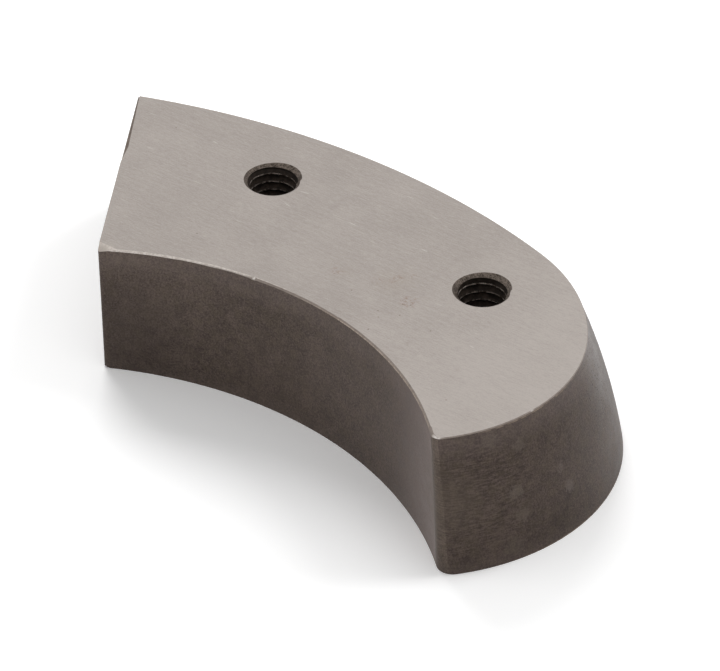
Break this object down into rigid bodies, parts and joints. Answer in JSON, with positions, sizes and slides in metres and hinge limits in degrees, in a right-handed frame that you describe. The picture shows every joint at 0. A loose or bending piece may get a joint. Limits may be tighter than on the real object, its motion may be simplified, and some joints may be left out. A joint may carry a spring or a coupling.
{
  "type": "curved cutting blade",
  "caption": "Curved tool steel cutting blade with a flared rounded nose, a concave inner wall, a square end and tapped holes in its flat face.",
  "frame": {"origin": "on the flat foot, straight below the point halfway between the two tapped holes", "axes": "+Z out of the tapped holes' mouths, +X from the hole by the square end to the hole in the nose, +Y to the convex outer side"},
  "size_m": [0.0753, 0.0372, 0.015],
  "materials": {
    "curved_blade": "ground top face, darker walls with a dull machined grain"
  },
  "bodies": {
    "root": {"curved_blade": "curved_blade"}
  },
  "joints": []
}
